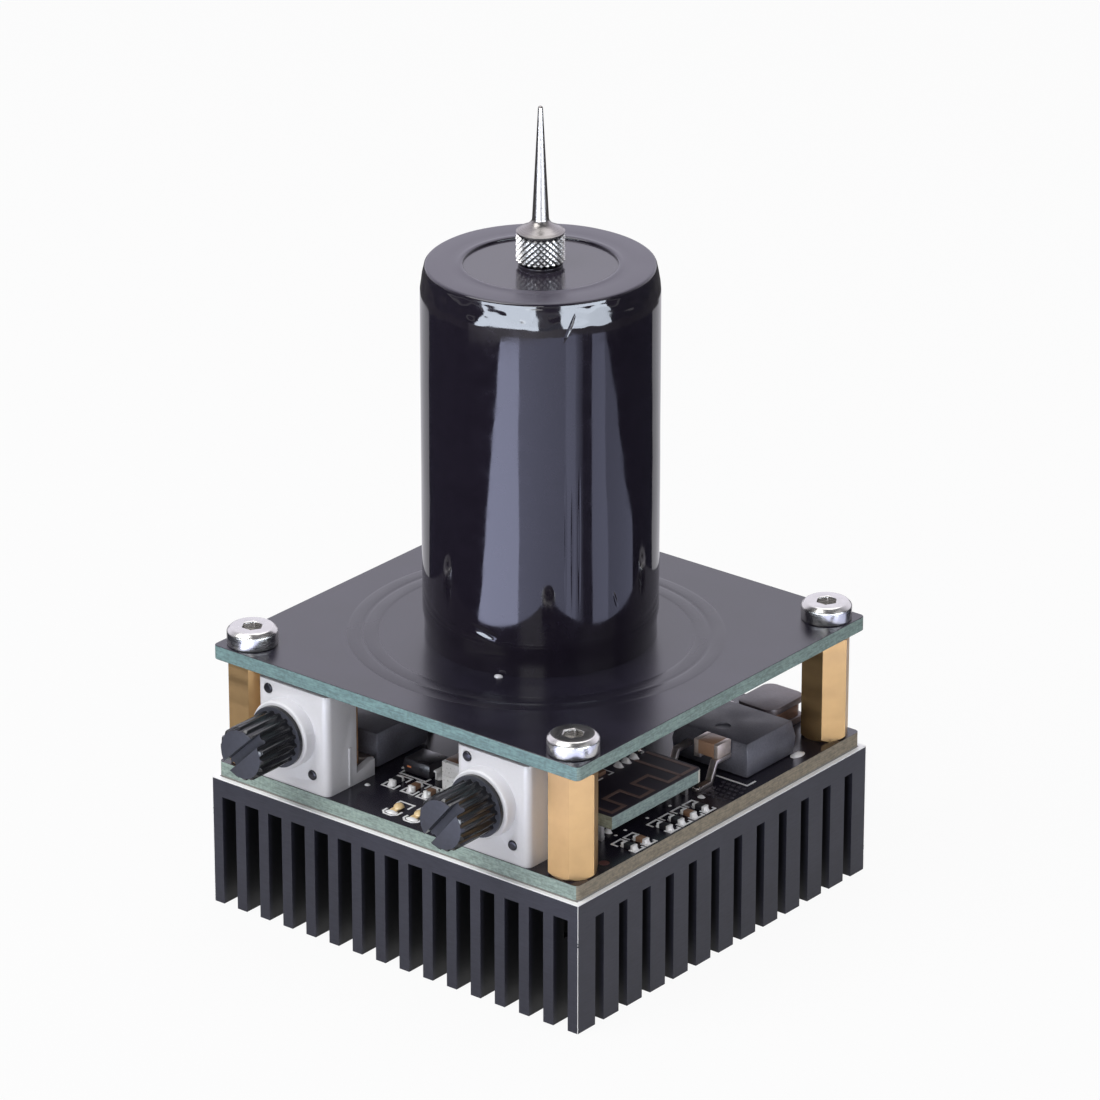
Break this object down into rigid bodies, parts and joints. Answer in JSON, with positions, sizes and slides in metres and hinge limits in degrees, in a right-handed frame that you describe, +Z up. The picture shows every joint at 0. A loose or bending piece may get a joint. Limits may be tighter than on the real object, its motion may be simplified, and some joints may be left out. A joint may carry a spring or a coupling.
{
  "type": "desktop resonant transformer",
  "caption": "Square finned base carrying stacked circuit boards, control shafts at the front and an upright sleeved coil topped by a needle that gives off a small electric discharge.",
  "frame": {"origin": "centre of the heat sink's resting plane, on the coil's axis", "axes": "+Z up along the coil, -Y out of the front where the control shafts stand out, +X to the right seen from the front"},
  "size_m": [0.05, 0.057, 0.0892],
  "materials": {
    "anodised": "black anodised, satin",
    "black_plastic": "satin",
    "board": "black solder mask, semi-gloss",
    "brass": "turned and plain",
    "carbon": "matt",
    "ceramic": "matt ceramic",
    "copper": "enamelled copper",
    "ferrite": "matt ferrite",
    "former": "plain moulding",
    "housing": "light grey, satin",
    "lamp": "clear tinted resin",
    "masked_copper": "copper under black solder mask",
    "needle": "bright turned steel",
    "pad": "matt silicone",
    "phenolic": "plain laminate",
    "resistor": "matt with pale ends",
    "sleeve": "glossy heat-shrink",
    "steel": "bright nickel",
    "tin": "tinned"
  },
  "bodies": {
    "base": {"bulk_capacitors": "ceramic", "bulk_end_caps": "tin", "cap_screws": "steel", "chip_capacitors": "ceramic", "chip_end_caps": "tin", "chip_leads": "tin", "chip_resistors": "resistor", "coil_base_plug": "former", "coil_board": "board", "coil_former": "former", "coil_top_cap": "black_plastic", "driver_board": "board", "gate_driver": "black_plastic", "heat_shrink_sleeve": "sleeve", "heat_sink": "anodised", "inductor_core": "ferrite", "inductor_winding": "copper", "jack_contacts": "tin", "jack_housing": "black_plastic", "jack_pin": "tin", "left_control_housing": "housing", "left_control_resistor_track": "carbon", "left_control_rivets": "tin", "left_control_terminals": "tin", "left_control_wafer": "phenolic", "left_transistor_case": "black_plastic", "left_transistor_metal": "tin", "needle_insert": "brass", "primary_winding": "masked_copper", "radio_board": "board", "radio_crystal": "tin", "radio_memory": "black_plastic", "radio_pins": "tin", "radio_processor": "black_plastic", "rectifier_case": "black_plastic", "rectifier_leads": "tin", "regulator": "black_plastic", "right_control_housing": "housing", "right_control_resistor_track": "carbon", "right_control_rivets": "tin", "right_control_terminals": "tin", "right_control_wafer": "phenolic", "right_transistor_case": "black_plastic", "right_transistor_metal": "tin", "secondary_leads": "copper", "secondary_winding": "copper", "snubber_capacitor": "ceramic", "snubber_end_caps": "tin", "spacer_front_left": "brass", "spacer_front_right": "brass", "spacer_rear_left": "brass", "spacer_rear_right": "brass", "status_lamps": "lamp", "thermal_pad": "pad"},
    "left_rotor": {"left_control_shaft": "black_plastic", "left_control_wiper": "tin"},
    "right_rotor": {"right_control_shaft": "black_plastic", "right_control_wiper": "tin"},
    "needle": {"discharge_needle": "needle"}
  },
  "joints": [
    {"name": "left_control_turn", "type": "hinge", "parent": "base", "child": "left_rotor", "pos_m": [-0.01463, -0.0244, 0.0229], "axis": [0, -1, 0], "range_deg": [-137, 143]},
    {"name": "right_control_turn", "type": "hinge", "parent": "base", "child": "right_rotor", "pos_m": [0.01258, -0.0244, 0.0229], "axis": [0, -1, 0], "range_deg": [-143, 137]},
    {"name": "needle_turn", "type": "hinge", "parent": "base", "child": "needle", "pos_m": [0, 0, 0.072], "axis": [0, 0, 1], "range_deg": [0, 2520]}
  ]
}
